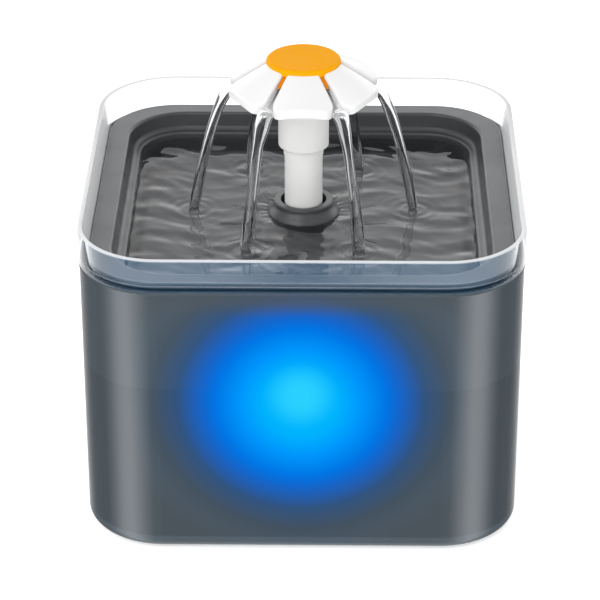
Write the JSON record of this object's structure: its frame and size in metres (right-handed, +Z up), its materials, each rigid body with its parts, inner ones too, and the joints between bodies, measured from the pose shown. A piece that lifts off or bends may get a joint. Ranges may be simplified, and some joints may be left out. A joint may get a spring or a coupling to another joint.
{
  "type": "pet water fountain",
  "caption": "Square pet water fountain: smoked tank with a pump inside, clear collar, grey drinking tray over a filter, and a white flower on a riser that spills water from its petals.",
  "frame": {"origin": "centre of the resting plane under the foot pads", "axes": "+Z up, front (the lit window side of the pump) towards -Y, +X to the right"},
  "size_m": [0.185, 0.185, 0.1871],
  "materials": {
    "smoked_tank": "gloss",
    "clear_plastic": "gloss",
    "grey_tray": "satin",
    "white_frame": "satin",
    "filter_felt": "matte",
    "resin_beads": "matte",
    "carbon_granules": "matte",
    "black_plastic": "satin",
    "grey_shutter": "satin",
    "black_rubber": "matte",
    "clear_rubber": "satin",
    "laminations": "satin",
    "copper_wire": "satin",
    "white_ceramic": "satin",
    "ferrite": "satin",
    "white_plastic": "satin",
    "orange_plastic": "satin",
    "black_sponge": "matte",
    "circuit_board": "satin",
    "blue_led": "gloss",
    "blue_lens": "gloss"
  },
  "bodies": {
    "base": {"tank": "smoked_tank", "foot_pads": "black_rubber", "cable_grommet": "black_rubber", "pump_housing": "black_plastic", "stator_core": "laminations", "stator_coils": "copper_wire", "led_board": "circuit_board", "led_emitters": "blue_led", "led_lens": "blue_lens", "impeller_cover": "black_plastic", "impeller_shaft": "white_ceramic", "shaft_bushes": "black_rubber", "suction_cups": "clear_rubber", "pump_gland": "black_rubber", "outlet_coupler": "clear_rubber", "riser_tube": "white_plastic"},
    "collar": {"clear_collar": "clear_plastic"},
    "tray": {"tray": "grey_tray"},
    "filter": {"filter_cover": "grey_tray", "filter_frame": "white_frame", "lower_filter_pad": "filter_felt", "resin_bed": "resin_beads", "carbon_bed": "carbon_granules", "upper_filter_pad": "filter_felt"},
    "impeller": {"impeller": "white_plastic", "rotor_magnet": "ferrite"},
    "intake": {"intake_cover": "black_plastic", "prefilter_sponge": "black_sponge"},
    "shutter": {"flow_shutter": "grey_shutter"},
    "stem": {"flower_stem": "white_plastic"},
    "petals": {"petals": "white_plastic"},
    "pistil": {"pistil_cap": "orange_plastic"}
  },
  "joints": [
    {"name": "collar_lift", "type": "slide", "parent": "base", "child": "collar", "axis": [0, 0, 1], "range_m": [0, 0.085]},
    {"name": "tray_lift", "type": "slide", "parent": "collar", "child": "tray", "axis": [0, 0, 1], "range_m": [0, 0.062]},
    {"name": "filter_cover_drop", "type": "slide", "parent": "tray", "child": "filter", "axis": [0, 0, -1], "range_m": [0, 0.028]},
    {"name": "stem_lift", "type": "slide", "parent": "tray", "child": "stem", "axis": [0, 0, 1], "range_m": [0, 0.03]},
    {"name": "petals_lift", "type": "slide", "parent": "stem", "child": "petals", "axis": [0, 0, 1], "range_m": [0, 0.02]},
    {"name": "pistil_lift", "type": "slide", "parent": "petals", "child": "pistil", "axis": [0, 0, 1], "range_m": [0, 0.02]},
    {"name": "impeller_spin", "type": "hinge", "parent": "base", "child": "impeller", "pos_m": [0, 0, 0.027], "axis": [0, 1, 0], "continuous": true},
    {"name": "intake_cover_pull", "type": "slide", "parent": "base", "child": "intake", "axis": [0, 1, 0], "range_m": [0, 0.022]},
    {"name": "flow_shutter_slide", "type": "slide", "parent": "intake", "child": "shutter", "axis": [1, 0, 0], "range_m": [0, 0.0023]}
  ]
}
